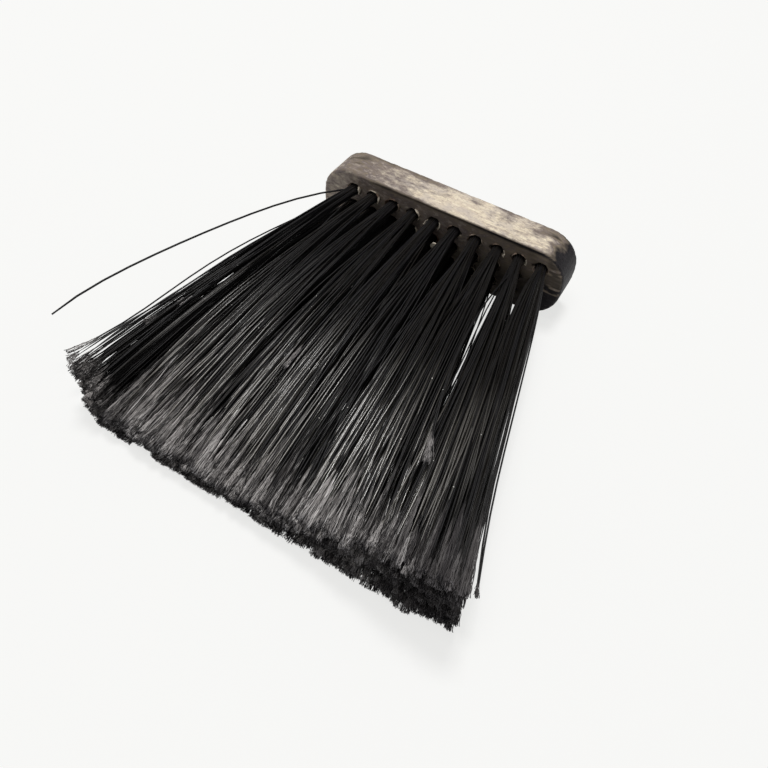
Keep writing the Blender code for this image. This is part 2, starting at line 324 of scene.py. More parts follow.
# Flagged ends: split into fibrils that spread from the filament's middle line, wander and are crimped
FLAG_LENGTH = (0.004, 0.027)
FLAG_POWER = 1.7
FLAG_SHARES = {"01": 0.45, "02": 1.3, "03": 1.2}
FLAG_RADIUS = 0.0008
WHOLE_END_SHARE = 0.8
FIBRILS = 13
FIBRIL_RADIUS = 0.00006
FIBRIL_THICKENING = 0.7
FIBRIL_SIDES = 3
FIBRIL_STEPS = 14
FIBRIL_START = 0.0001
FIBRIL_SPREAD_POWER = 0.9
FIBRIL_WANDER = 0.00008
FIBRIL_CRIMP = 0.00011
FIBRIL_WAVE_POWER = 0.5
FIBRIL_CLEARANCE = 0.0001
FIBRIL_END_SCATTER = 0.0002
ASTRAY_CHANCE = 0.006
ASTRAY_SPREADS = (1.5, 4)
PALENESS_SHARE = 0.65
TONE_SCATTER = 0.12

# Specks of dust on the filaments, told from them by a value that no filament has
SPECKS = 3
SPECK_RADIUS = (0.00010, 0.00022)
SPECK_FLATNESS = (1, 1, 0.6)
SPECK_REACH_SHARES = (0.2, 0.8)
SPECK_OUTWARD = 0.02
SPECK_FLAG = 3

# Anchors
ANCHOR_DEPTH = 0.009
ANCHOR_HALF_GAP = 0.0004
ANCHOR_SIZE = (0.0058, 0.0005, 0.0026)
ANCHOR_CHAMFER = 0.0001
STEEL = 1

# A tuft's map: strips for the filaments and fibrils, as the left, width and rows, with gaps between
# them, and below them a triangle for the specks and a piece for the anchor
FILAMENT_STRIPS = (0, 0.45, 1)
FIBRIL_STRIPS = (0.45, 0.55, 4)
STRIPS_BOTTOM = 0.05
STRIP_SIDE_GAP = 0.1
STRIP_END_GAP = 0.02
TUBE_CAP_SHARE = 0.3
SPECK_TRIANGLE = ((0.97, 0.01), (0.99, 0.01), (0.98, 0.03))
ANCHOR_PIECE = (0.05, 0.005, 0.9, 0.025)

# Colours
BLACK_SHAFT = (0.0058, 0.0052, 0.0062)
BROWN_SHAFT = (0.0120, 0.0104, 0.0088)
# A pale colour painted on some shafts as highlight streaks
HIGHLIGHT_STREAK_SHAFT = (0.18, 0.165, 0.145)
DUST = (0.026, 0.024, 0.023)
SPECK = (0.85, 0.83, 0.78)
DARK_FIBRIL = (0.026, 0.024, 0.025)
PALE_FIBRIL = (0.68, 0.64, 0.62)
# Painted shade on the fibrils: in patches, at the right, and on the cut ends, lighter to the right
RIGHT_FIBRIL_SHADE = (0.045, 0.040, 0.042)
SHADED_FIBRIL = (0.04, 0.035, 0.034)
DARK_STUB_SHADE = (0.010, 0.009, 0.011)
LEFT_STUB_SHADE = (0.070, 0.064, 0.068)
RIGHT_STUB_SHADE = (0.15, 0.14, 0.145)
STEEL_COLOR = (0.42, 0.41, 0.39)
RUST = (0.12, 0.05, 0.025)
DARK_GRAIN = (0.66, 0.55, 0.41)
PALE_GRAIN = (1.0, 0.90, 0.70)
MOTTLED_WOOD = (0.66, 0.55, 0.45)
GREYED_WOOD = (0.62, 0.54, 0.46)
DARK_STAIN = (0.009, 0.008, 0.010)
PALE_STAIN = (0.026, 0.023, 0.026)
DARK_FADED_STAIN = (0.17, 0.135, 0.10)
PALE_FADED_STAIN = (0.34, 0.28, 0.21)
DARK_THIN_STAIN = (0.15, 0.12, 0.12)
PALE_THIN_STAIN = (0.27, 0.22, 0.19)
PORE = (0.09, 0.07, 0.065)
DARK_TORN_WOOD = (0.66, 0.55, 0.40)
PALE_TORN_WOOD = (1.0, 0.93, 0.80)
# Red-brown painted as shade on the slivers of low paleness
RED_TORN_WOOD = (0.13, 0.055, 0.028)

# The highest bumps of each material
BRISTLE_BUMP = 0.00002
STEEL_BUMP = 0.00002
WOOD_BUMP = 0.00016
TORN_BUMP = 0.00008


def read(items, key, width=1, kind=float):
    """A property of every point, edge, face or corner of a mesh."""
    values = np.empty(len(items) * width, kind)
    items.foreach_get(key, values)
    return values.reshape(-1, width) if width > 1 else values


def read_strands(mesh):
    """A CAD tuft's strands: for each, the points of its middle line, from the neck to its tip."""
    points = read(mesh.vertices, "co", 3)
    places, which = np.unique(points.round(WELD_DIGITS), axis=0, return_inverse=True)
    edges = which.ravel()[read(mesh.edges, "vertices", 2, int)]
    free = places[:, 1] < BLOCK_LOW.y - 2 * NECK_LENGTH
    inside = edges[free[edges].all(axis=1)]
    label = np.arange(len(places))
    while True:
        lower = label[inside].min(axis=1)
        spread = label.copy()
        np.minimum.at(spread, inside[:, 0], lower)
        np.minimum.at(spread, inside[:, 1], lower)
        if (spread == label).all():
            break
        label = spread
    crossing = edges[free[edges].sum(axis=1) == 1]
    outer = np.where(free[crossing[:, 0]], crossing[:, 0], crossing[:, 1])
    inner = np.where(free[crossing[:, 0]], crossing[:, 1], crossing[:, 0])
    strands = []
    for name in np.unique(label[free]):
        members = places[free & (label == name)]
        ring_at, sizes = np.unique(members[:, 1].round(RING_DIGITS), return_counts=True)
        points = [places[np.unique(inner[label[outer] == name])].mean(axis=0)]
        for y in ring_at[sizes == 3][::-1]:
            points.append(members[np.abs(members[:, 1] - y) < RING_TOLERANCE].mean(axis=0))
        strands.append(np.array(points))
    return strands


def fit_route(points):
    """A curve through points: the terms of a polynomial of the share of the way out, constant first."""
    shares = (points[0, 1] - points[:, 1]) / (points[0, 1] - points[-1, 1])
    terms = np.zeros((STRAY_DEGREE + 1, 3))
    degree = min(len(points) - 1, STRAY_DEGREE if len(points) >= STRAY_POINTS - 1 else ROUTE_DEGREE)
    terms[:degree + 1] = np.polyfit(shares, points, degree)[::-1]
    return terms


def unit(vectors):
    """Vectors of length 1."""
    return vectors / np.linalg.norm(vectors, axis=-1, keepdims=True)


def tuft_axes(routes):
    """A tuft's neck, the way its hole points, and the two directions across it."""
    neck = routes[:, 0].mean(axis=0)
    outward = unit(routes[:, 1].mean(axis=0))
    along = unit(np.array((1, 0, 0)) - outward * outward[0])
    across = np.cross(outward, along)
    return neck, outward, along, across * np.sign(across[2])


def read_tuft(name):
    """A CAD tuft's stray strands, the routes of the others, and its axes."""
    strands = read_strands(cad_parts[name].data)
    stray = [points for points in strands if len(points) >= STRAY_POINTS]
    routes = np.array([fit_route(points) for points in strands if len(points) < STRAY_POINTS])
    return stray, routes, tuft_axes(routes)


def hole_axes(neck, outward, along, across):
    """A hole's mouth, and the directions of its tuft."""
    mouth = neck + outward * (BLOCK_LOW.y - neck[1]) / outward[1]
    return mouth, outward, along, across


def add_object(name, data):
    """An object that shows a mesh, light or camera."""
    item = bpy.data.objects.new(name, data)
    bpy.context.scene.collection.objects.link(item)
    return item


class Soup:
    """Closed shapes gathered for one mesh, with the values that its materials read."""

    def __init__(self):
        self.points = []
        self.faces = []
        self.kinds = []
        self.uvs = []
        self.values = {"tone": [], "along": [], "flag": []}
        self.count = 0

    def add(self, points, groups, kind=0, **values):
        """Points, and groups of faces between them with places on the map for the faces' corners."""
        for faces, uvs in groups:
            self.faces.extend((faces + self.count).tolist())
            self.kinds.extend([kind] * len(faces))
            self.uvs.append(uvs.reshape(-1, 2))
        self.points.append(points)
        for name, parts in self.values.items():
            parts.append(np.broadcast_to(values.get(name, 0.0), len(points)))
        self.count += len(points)

    def add_rings(self, rings, pieces, kind=0, first=0, inside_out=False, **values):
        """Closed shapes through rings of points. Each has a piece of the map: left, bottom, width, height.

        The corner that a side's face is counted from sets the way that it is split into triangles.
        """
        shapes, steps, sides = rings.shape[:3]
        index = np.arange(shapes * steps * sides).reshape(shapes, steps, sides)
        after = np.roll(index, -1, axis=2)
        quads = np.stack((index[:, :-1], index[:, 1:], after[:, 1:], after[:, :-1]), axis=-1)
        quads = np.roll(quads.reshape(-1, 4), -first, axis=1)
        left, bottom, width, height = (pieces[:, column, None, None] for column in range(4))
        u = left + width * (np.arange(sides + 1) / sides)
        v = bottom + height * np.linspace(0, 1, steps)[:, None]
        grid = np.stack(np.broadcast_arrays(u, v), axis=-1)
        corners = np.stack((grid[:, :-1, :-1], grid[:, 1:, :-1], grid[:, 1:, 1:], grid[:, :-1, 1:]), axis=-2)
        corners = np.roll(corners.reshape(-1, 4, 2), -first, axis=1)
        angles = np.linspace(0, 2 * np.pi, sides, endpoint=False)
        cap = np.stack((np.cos(angles), np.sin(angles)), axis=-1) * TUBE_CAP_SHARE + 0.5
        # The two ends lie in opposite corners of the shape's own piece of the map
        size = pieces[:, None, 2:].min(axis=-1, keepdims=True)
        start = pieces[:, None, :2] + cap * size
        end = start + pieces[:, None, 2:] - size
        groups = [(quads, corners), (index[:, 0], start), (index[:, -1, ::-1], end)]
        if inside_out:
            groups = [(faces[:, ::-1], uvs[:, ::-1]) for faces, uvs in groups]
        spread = {name: np.broadcast_to(np.asarray(value)[..., None], index.shape).ravel()
                  for name, value in values.items()}
        self.add(rings.reshape(-1, 3), groups, kind, **spread)

    def add_tubes(self, centres, radii, sides, turns, pieces, **values):
        """Closed tubes along rows of centres."""
        tangents = unit(np.gradient(centres, axis=1))
        sideways = unit(np.cross(tangents, TUBE_SIDE))
        upward = np.cross(sideways, tangents)
        angles = turns[:, None] + np.linspace(0, 2 * np.pi, sides, endpoint=False)
        round_x = np.cos(angles)[:, None, :, None] * sideways[:, :, None, :]
        round_z = np.sin(angles)[:, None, :, None] * upward[:, :, None, :]
        rings = centres[:, :, None, :] + radii[:, :, None, None] * (round_x + round_z)
        self.add_rings(rings, pieces, **values)

    def make(self, name, materials):
        """The gathered shapes as one object."""
        mesh = bpy.data.meshes.new(name)
        mesh.from_pydata(np.concatenate(self.points), [], self.faces)
        for key, parts in self.values.items():
            layer = mesh.attributes.new(key, "FLOAT", "POINT")
            layer.data.foreach_set("value", np.concatenate(parts).astype(np.float32))
        layer = mesh.uv_layers.new(name="OFBake")
        layer.uv.foreach_set("vector", np.concatenate(self.uvs).astype(np.float32).ravel())
        for material in materials:
            mesh.materials.append(material)
        mesh.polygons.foreach_set("material_index", self.kinds)
        mesh.shade_smooth()
        mesh.set_sharp_from_angle(angle=radians(SHARP_ANGLE))
        return add_object(name, mesh)


def map_strips(count, left, width, rows):
    """Strips of the map side by side in rows, for that many tubes."""
    per_row = -(-count // rows)
    index = np.arange(count)
    pitch = width / per_row
    tall = (1 - STRIPS_BOTTOM) / rows
    lefts = left + (index % per_row) * pitch + pitch * STRIP_SIDE_GAP
    bottoms = STRIPS_BOTTOM + index // per_row * tall + tall * STRIP_END_GAP
    widths = np.full(count, pitch * (1 - 2 * STRIP_SIDE_GAP))
    heights = np.full(count, tall * (1 - 2 * STRIP_END_GAP))
    return np.stack((lefts, bottoms, widths, heights), axis=-1)


def pack_roots(random):
    """Places for the folded filaments in one half of a hole, on one side of the anchor."""
    golden = np.pi * (3 - 5 ** 0.5)
    spots = np.arange(SPIRAL_SPOTS) + 0.5
    spiral = np.sqrt(spots / len(spots)) * (PACK_RADIUS - FILAMENT_RADIUS)
    places = np.stack((spiral * np.cos(spots * golden), spiral * np.sin(spots * golden)), axis=-1)
    return random.permutation(places[places[:, 1] > ANCHOR_HALF_GAP])[:FOLDED_FILAMENTS]


def pick_guides(routes, roots):
    """The guide that each filament follows: it keeps its place among them, so that few cross."""
    guide_order = np.argsort(routes[:, 0, 0])
    order = np.argsort(roots[:, 0])
    guides = np.empty(len(roots), int)
    done = 0
    # A guide that is a stray filament's route is the first column's
    missing = sum(GUIDE_COLUMNS) - len(routes)
    for count in (GUIDE_COLUMNS[0] - missing, *GUIDE_COLUMNS[1:]):
        column = guide_order[done:done + count]
        column = column[np.argsort(routes[column, 0, 2])]
        first, last = (round(len(roots) * share / len(routes)) for share in (done, done + count))
        members = order[first:last]
        members = members[np.argsort(roots[members, 1])]
        guides[members] = column[np.arange(len(members)) * count // len(members)]
        done += count
    return guides


def spread_evenly(guides, random):
    """For the filaments of each guide, places between -0.5 and 0.5 that leave no wide gap."""
    places = np.zeros((len(guides), 3))
    for guide in np.unique(guides):
        members = np.flatnonzero(guides == guide)
        for axis in (0, 2):
            steps = (np.arange(len(members)) + random.uniform(0, 1, len(members))) / len(members) - 0.5
            places[members, axis] = random.permutation(steps)
    return places


def spread_tips(name, routes, guides, side, random):
    """How far each filament's tip strays from its guide's, and how much of it is with that guide."""
    column, row = name[-2:], name.split("_")[1]
    tips = routes.sum(axis=1)
    pitch = np.ptp(tips, axis=0) / (len(GUIDE_COLUMNS) - 1, 1, GUIDE_LEVEL_STEPS)
    shift = spread_evenly(guides, random) * pitch * SPREAD_SHARES
    clump = random.normal(0, 1, (len(routes), 3)) * CLUMP_SPREAD
    shift += clump[guides]
    if column in EDGE_OVERHANGS:
        over = side * shift[:, 0] - EDGE_OVERHANGS[column]
        shift[:, 0] -= side * EDGE_FOLD_SHARE * np.maximum(over, 0)
    if column == SPARSE_COLUMN:
        tip_x = tips[guides, 0] + shift[:, 0]
        inward = np.minimum((tip_x - tip_x.min()) / SPARSE_WIDTH, 1)
        shift[:, 0] += SPARSE_WIDTH * (inward ** SPARSE_POWER - inward)
    shift[:, 0] += LEANS.get(name, 0)
    shift[:, 2] += LIFTS.get(name, 0)
    if row == "bottom":
        shift[:, 2] -= BOTTOM_PRESS
    wild = random.uniform(0, 1, len(guides)) < WILD_CHANCE
    away = random.normal(0, 1, (wild.sum(), 3)) * WILD_SPREAD
    if column in EDGE_OVERHANGS:
        away[:, 0] = -side * np.abs(away[:, 0])
    shift[wild] += away
    return shift, clump[guides]


def trim_ends(name, count, random):
    """How far out the filaments end, as shares of their routes."""
    row = name.split("_")[1]
    scatter = random.uniform(0, 1, count) ** TRIM_POWER * TRIM_SCATTER_SHARES[row]
    ends = TRIM_REACH_SHARES.get(name, TRIM_REACH_SHARES[row]) - scatter
    short = random.uniform(0, 1, count) < SHORT_CHANCE
    ends[short] = random.uniform(*SHORT_REACH_SHARES, short.sum())
    return ends


def make_arms(name, tuft, random):
    """The arms of a tuft's folded filaments: their routes, how they stray from them and their ends."""
    stray, routes, (neck, outward, along, across) = tuft
    column = name[-2:]
    side = np.sign(neck[0])
    half = pack_roots(random)
    roots = np.concatenate((half, half * (1, -1)))
    guides = pick_guides(routes, roots)
    count = len(roots)
    shift, clump = spread_tips(name, routes, guides, side, random)
    ends = trim_ends(name, count, random)
    bow = random.normal(0, 1, (count, 3)) * BOW_SPREAD + clump
    bow[:, 0] += SIDE_BOWS.get(name, SIDE_BOWS.get(column, 0))
    gather = GATHER_POWERS
    if column in EDGE_OVERHANGS:
        bow[:, 0] = -EDGE_BOW_SHARE * side * np.abs(bow[:, 0])
        gather = EDGE_GATHER_POWERS
    flag = FLAG_LENGTH[0] + (FLAG_LENGTH[1] - FLAG_LENGTH[0]) * random.uniform(0, 1, count) ** FLAG_POWER
    arm = {
        "route": routes[guides],
        "start": neck + roots[:, :1] * along + roots[:, 1:] * across,
        "shift": shift,
        "gather": random.uniform(*gather, count),
        "bow": bow,
        "swell": SWELLS.get(column, 0) * (roots[:, 0] / PACK_RADIUS - SWELL_LEFT_SHARE),
        "ripple": random.normal(0, 1, (count, 3)) * RIPPLE_SPREAD,
        "phase": random.uniform(0, 2 * np.pi, count),
        "end": ends,
        "flag": flag * FLAG_SHARES.get(column, 1) / REACH,
        "thick": np.ones(count),
        "spread": np.full(count, FLAG_RADIUS),
        "loose": np.zeros(count, bool),
        "paleness": random.uniform(0, 1, count),
    }
    loose = [(0, 0, 0, points[1:]) for points in stray]
    loose += LOOSE_FILAMENTS.get(name, ())
    outermost = np.argsort(roots[:, 0] * side)[::-1]
    for index, (length, spread, paleness, route) in zip(outermost, loose):
        changes = {
            "route": fit_route(np.concatenate((arm["start"][index:index + 1], route))),
            "shift": 0,
            "bow": 0,
            "swell": 0,
            "ripple": arm["ripple"][index] * LOOSE_RIPPLE_SHARE,
            "end": 1,
            "flag": length / REACH,
            "thick": LOOSE_THICKNESS_SHARE if length else STRAY_THICKNESS_SHARE,
            "spread": spread,
            "loose": True,
            "paleness": paleness,
        }
        for key, value in changes.items():
            arm[key][index] = value
    return arm


def route_points(arm, shares):
    """Points of an arm's filaments at shares of the way out."""
    t = shares[..., None]
    phase = arm["phase"][:, None, None]
    points = np.einsum("nsk,nkd->nsd", t ** np.arange(arm["route"].shape[1]), arm["route"])
    points += (arm["start"] - arm["route"][:, 0])[:, None] * (1 - t) ** 2
    points += arm["shift"][:, None] * t ** arm["gather"][:, None, None]
    wave = np.sin(np.pi * t) + BOW_WAVE_SHARE * np.sin(2 * np.pi * t + phase)
    wave -= BOW_WAVE_SHARE * np.sin(phase) * (1 - t)
    points += arm["bow"][:, None] * wave
    points[..., 0] += arm["swell"][:, None] * shares * (1 - shares) ** 3 / SWELL_PEAK
    ripple = np.sin(HALF_RIPPLES * np.pi * t + phase) - np.sin(phase)
    points += arm["ripple"][:, None] * ripple * t ** 0.5
    lowest = FLOOR_Z + FLOOR_CLEARANCE
    over = points[..., 2] - lowest - PRESS_HEIGHT
    pressed = lowest + PRESS_HEIGHT * np.exp(np.minimum(over, 0) / PRESS_HEIGHT)
    points[..., 2] = np.where(over < 0, pressed, points[..., 2])
    return points


def add_filaments(soup, arm, outward, random):
    """Filaments folded round the anchor, from the split of one end to the split of the other."""
    half = FOLDED_FILAMENTS
    shares = np.linspace(0, 1, ARM_STEPS) * (arm["end"] - arm["flag"] * WHOLE_END_SHARE)[:, None]
    points = route_points(arm, shares)
    # In the hole the two arms run side by side, and join under the anchor
    depths = NECK_LENGTH + np.linspace(0, ANCHOR_DEPTH, ROOT_STEPS)
    roots = arm["start"][:, None] - outward * depths[:, None]
    one, other = roots[:half], roots[half:]
    middle = (one[:, -1] + other[:, -1]) / 2
    side = (one[:, -1] - other[:, -1]) / 2
    angles = np.linspace(0, np.pi, FOLD_STEPS + 2)[1:-1, None]
    depth = FOLD_DEPTH + FOLD_DEPTH_SHARE * np.linalg.norm(side, axis=-1)[:, None, None]
    fold = middle[:, None] + side[:, None] * np.cos(angles) - outward * depth * np.sin(angles)
    centres = np.concatenate((points[:half, ::-1], one, fold, other[:, ::-1], points[half:]), axis=1)
    hidden = np.zeros((half, 2 * ROOT_STEPS + FOLD_STEPS))
    far = np.concatenate((shares[:half, ::-1], hidden, shares[half:]), axis=1)
    radii = np.full(centres.shape[:2], FILAMENT_RADIUS)
    radii[:, :ARM_STEPS] *= arm["thick"][:half, None]
    radii[:, -ARM_STEPS:] *= arm["thick"][half:, None]
    ends = np.where(arm["loose"], LOOSE_END_SHARE, END_THICKNESS_SHARE)
    radii[:, 0] *= ends[:half]
    radii[:, -1] *= ends[half:]
    loose = arm["loose"][:half] | arm["loose"][half:]
    tone = np.where(loose, LOOSE_TONE, random.uniform(0, 1, half))
    tone = np.broadcast_to(tone[:, None], radii.shape)
    soup.add_tubes(centres, radii, FILAMENT_SIDES, random.uniform(0, MOST_TURN, half),
                   map_strips(half, *FILAMENT_STRIPS), tone=tone, along=far)


def add_flags(soup, arm, random):
    """The split ends of a tuft's filaments."""
    split = np.repeat(np.flatnonzero(arm["flag"] > 0), FIBRILS)
    grow = np.linspace(0, 1, FIBRIL_STEPS)
    shares = (arm["end"] - arm["flag"])[:, None] + arm["flag"][:, None] * grow
    centres = route_points(arm, shares)[split]
    count = len(centres)
    angle = random.uniform(0, 2 * np.pi, count)
    reach = arm["spread"][split] * np.sqrt(random.uniform(0, 1, count))
    astray = random.uniform(0, 1, count) < ASTRAY_CHANCE
    reach[astray] *= random.uniform(*ASTRAY_SPREADS, astray.sum())
    offset = FIBRIL_START + reach[:, None] * grow ** FIBRIL_SPREAD_POWER
    waves = np.cumsum(random.normal(0, FIBRIL_WANDER, (count, 2, FIBRIL_STEPS)), axis=-1)
    waves = (waves + random.normal(0, FIBRIL_CRIMP, waves.shape)) * grow ** FIBRIL_WAVE_POWER
    centres[..., 0] += np.cos(angle)[:, None] * offset + waves[:, 0]
    centres[..., 2] += np.sin(angle)[:, None] * offset + waves[:, 1]
    centres[..., 2] = np.maximum(centres[..., 2], FLOOR_Z + FIBRIL_CLEARANCE)
    centres[..., 1] += random.uniform(-FIBRIL_END_SCATTER, FIBRIL_END_SCATTER, count)[:, None] * grow
    radii = np.broadcast_to(FIBRIL_RADIUS * (1 + FIBRIL_THICKENING * grow), (count, FIBRIL_STEPS))
    tone = PALENESS_SHARE * arm["paleness"][split] + (1 - PALENESS_SHARE) * random.uniform(0, 1, count)
    tone = tone[:, None] + random.normal(0, TONE_SCATTER, radii.shape)
    soup.add_tubes(centres, radii, FIBRIL_SIDES, random.uniform(0, MOST_TURN, count),
                   map_strips(count, *FIBRIL_STRIPS), tone=tone, along=shares[split],
                   flag=np.broadcast_to(grow, radii.shape))


def add_specks(soup, arm, random):
    """Specks of pale dust on the uppermost filaments."""
    shares = random.uniform(*SPECK_REACH_SHARES, (len(arm["end"]), 1))
    places = route_points(arm, shares)[:, 0]
    highest = np.argsort(places[:, 2] + SPECK_OUTWARD * shares[:, 0])[-SPECKS:]
    corners = np.array(((1, 0, 0), (0, 1, 0), (-1, 0, 0), (0, -1, 0), (0, 0, 1), (0, 0, -1)))
    faces = np.array(((0, 1, 4), (1, 2, 4), (2, 3, 4), (3, 0, 4), (1, 0, 5), (2, 1, 5), (3, 2, 5), (0, 3, 5)))
    for place in places[highest]:
        sizes = random.uniform(*SPECK_RADIUS, 3) * SPECK_FLATNESS
        points = place + (0, 0, FILAMENT_RADIUS) + corners * sizes
        uvs = np.tile(SPECK_TRIANGLE, (len(faces), 1, 1))
        soup.add(points, [(faces, uvs)], tone=1, flag=SPECK_FLAG)


def faces_in(rings):
    """Whether the faces through rings point in, as they do when these run anticlockwise seen from the end."""
    turn = np.cross(rings[0, 1] - rings[0, 0], rings[0, 2] - rings[0, 1])
    return turn @ (rings[1] - rings[0]).mean(axis=0) > 0


def add_anchor(soup, axes):
    """The strip of steel in a tuft's fold, its long edges chamfered."""
    neck, outward, along, across = axes
    width, thickness, height = (size / 2 for size in ANCHOR_SIZE)
    place = neck - outward * (NECK_LENGTH + ANCHOR_DEPTH - height)
    ring = []
    for side, rise in ((1, 1), (-1, 1), (-1, -1), (1, -1)):
        ring.append((side * thickness, rise * (height - ANCHOR_CHAMFER)))
        ring.append((side * (thickness - ANCHOR_CHAMFER), rise * height))
    ring = np.array(sorted(ring, key=lambda spot: np.arctan2(spot[1] / height, spot[0] / thickness)))
    flat = place + ring[:, :1] * across + ring[:, 1:] * outward
    rings = np.stack((flat - width * along, flat + width * along))
    soup.add_rings(rings[None], np.array((ANCHOR_PIECE,)), STEEL, inside_out=faces_in(rings))


def make_tuft(name, tuft, materials, random):
    """One tuft: filaments folded round the anchor, with flagged ends."""
    arm = make_arms(name, tuft, random)
    axes = tuft[2]
    soup = Soup()
    add_filaments(soup, arm, axes[1], random)
    add_flags(soup, arm, random)
    if "top" in name:
        add_specks(soup, arm, random)
    add_anchor(soup, axes)
    piece = soup.make(name.replace("tuft", "bristles"), materials)
    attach(piece, "root")
    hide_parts(name)


def wall_depth(x, z):
    """How deep a point lies under the block's long sides and rounded ends."""
    over_x = np.abs(x) - (BLOCK_HIGH.x - END_RADIUS)
    over_z = np.abs(z) - (BLOCK_HIGH.z - END_RADIUS)
    outside = np.hypot(np.maximum(over_x, 0), np.maximum(over_z, 0))
    return END_RADIUS - outside - np.minimum(np.maximum(over_x, over_z), 0)


def noise_at(points, sizes, shift):
    """Smooth noise between about -1 and 1 at each point, with features of those sizes along x, y and z."""
    scaled = points / sizes + shift
    return np.array([noise.noise(Vector(spot)) for spot in scaled])


def map_block(mesh, holes):
    """The block's map: one flat piece for each side, and one for each hole's wall and floor."""
    centres = read(mesh.polygons, "center", 3)
    normals = read(mesh.polygons, "normal", 3)
    points = read(mesh.vertices, "co", 3)[read(mesh.loops, "vertex_index", kind=int)]
    owner = np.repeat(np.arange(len(centres)), read(mesh.polygons, "loop_total", kind=int))
    inside = (wall_depth(centres[:, 0], centres[:, 2]) > FINE_STEP)
    inside &= (centres[:, 1] > BLOCK_LOW.y + FINE_STEP) & (centres[:, 1] < BLOCK_HIGH.y - FINE_STEP)
    side = np.abs(normals).argmax(axis=1)
    positive = np.take_along_axis(normals, side[:, None], axis=1)[:, 0] > 0
    low = np.array(BLOCK_LOW)
    width, deep, tall = BLOCK_HIGH - BLOCK_LOW
    # The corner of each side's piece on the map, and the two directions that it is laid out in
    layout = {
        (1, False): ((0, 0), (0, 2)),
        (1, True): ((0, tall + MAP_GAP), (0, 2)),
        (2, True): ((0, 2 * (tall + MAP_GAP)), (0, 1)),
        (2, False): ((0, 2 * (tall + MAP_GAP) + deep + MAP_GAP), (0, 1)),
        (0, True): ((width + MAP_GAP, 0), (1, 2)),
        (0, False): ((width + MAP_GAP, tall + MAP_GAP), (1, 2)),
    }
    uvs = np.zeros((len(points), 2))
    for (axis, way), (corner, directions) in layout.items():
        chosen = ((side == axis) & (positive == way) & ~inside)[owner]
        uvs[chosen] = points[chosen][:, directions] - low[list(directions)] + corner
    mouths, outwards = (np.array(part) for part in list(zip(*holes))[:2])
    depth = (centres[:, None, 1] - mouths[:, 1]) / -outwards[:, 1]
    axis_at = mouths - outwards * depth[..., None]
    nearest = np.linalg.norm(centres[:, None] - axis_at, axis=-1).argmin(axis=1)
    wall_base = 2 * (tall + MAP_GAP) + 2 * (deep + MAP_GAP)
    wall_pitch = 2 * np.pi * HOLE_RADIUS * WALL_PITCH_SHARE
    floor_base = wall_base + len(ROWS) * (HOLE_DEPTH + MAP_GAP) + HOLE_RADIUS
    for index, (mouth, outward, along, across) in enumerate(holes):
        mine = inside & (nearest == index)
        floor = mine & (normals @ outward > HOLE_FLOOR_FACING)
        spot = points - mouth
        flat_x, flat_z = spot @ along, spot @ across
        own = centres - mouth
        turn = np.arctan2(own @ across, own @ along)[owner]
        away = np.arctan2(flat_z, flat_x) - turn
        away = (away + np.pi) % (2 * np.pi) - np.pi
        column, row = index % COLUMNS, index // COLUMNS
        chosen = (mine & ~floor)[owner]
        u = column * wall_pitch + (turn + away + np.pi) * HOLE_RADIUS * WALL_WIDTH_SHARE
        v = wall_base + row * (HOLE_DEPTH + MAP_GAP) - spot @ outward
        uvs[chosen] = np.stack((u, v), axis=-1)[chosen]
        chosen = floor[owner]
        u = HOLE_RADIUS + column * (2 * HOLE_RADIUS + MAP_GAP) + flat_x
        v = floor_base + row * (2 * HOLE_RADIUS + MAP_GAP / 2) + flat_z
        uvs[chosen] = np.stack((u, v), axis=-1)[chosen]
    layer = mesh.uv_layers.new(name="OFBake")
    layer.uv.foreach_set("vector", (uvs / MAP_SIZE + MAP_MARGIN_SHARE).astype(np.float32).ravel())


def worn(name, value):
    """How much of a named wear or painted shade there is, with a smooth rise from where it starts to where it
    is whole.
    """
    amount, low, high = WEAR_AND_SHADE[name]
    share = np.clip((value - low) / (high - low), 0, 1)
    return amount * (share * share * (3 - 2 * share))


def block_wear_and_shade(points, normals):
    """How far the stain is worn off at each point, 1 where the wood is bare, and lower where shade is painted
    on the face.
    """
    x, y, z = points.T
    patches = noise_at(points, *PATCH_NOISE)
    streaks = noise_at(points, *STREAK_NOISE)
    mottle = np.stack((patches, streaks), axis=-1)
    middle = worn("middle", x) * (1 - worn("middle thins", x)) * worn("middle ends", x)
    wear_and_shade = TOP_WEAR + middle + worn("right half", x)
    wear_and_shade += TOP_MOTTLE[1] * streaks - TOP_MOTTLE[0] * np.maximum(patches, 0)
    wear_and_shade *= 1 - worn("dark right end", x + mottle @ RIGHT_RAGGED)
    wear_and_shade *= 1 - worn("darker left end", x + LEFT_RAGGED * patches)
    wear_and_shade *= 1 - worn("darker back edge", y + BACK_RAGGED * patches)
    top = worn("facing up", np.abs(normals[:, 2]))
    front = worn("facing", -normals[:, 1])
    face = FACE_WEAR + worn("left of face", x) - worn("right of face", x)
    wear_and_shade = wear_and_shade * top + (1 - top) * (SIDE_WEAR + mottle @ SIDE_MOTTLE + front * face)
    bands = worn("lower band starts", z) * worn("lower band ends", z)
    bands += worn("upper band starts", z) * worn("upper band ends", z)
    bands *= worn("streaked", streaks)
    wear_and_shade += front * worn("banded end", x) * (BAND_WEAR * bands - BETWEEN_BANDS)
    # Painted shade: a dark line under the top front edge, and a darker lower front face below the top row of
    # holes
    wear_and_shade -= front * worn("shade line under edge", z) * worn("shade line starts", x)
    wear_and_shade -= front * worn("lower face", z) * worn("lower face starts", x)
    wear_and_shade += worn("left wall", -normals[:, 0])
    wear_and_shade += worn("facing", normals[:, 1]) * (BACK_WEAR + mottle @ BACK_MOTTLE)
    return np.clip(wear_and_shade, 0, 1)


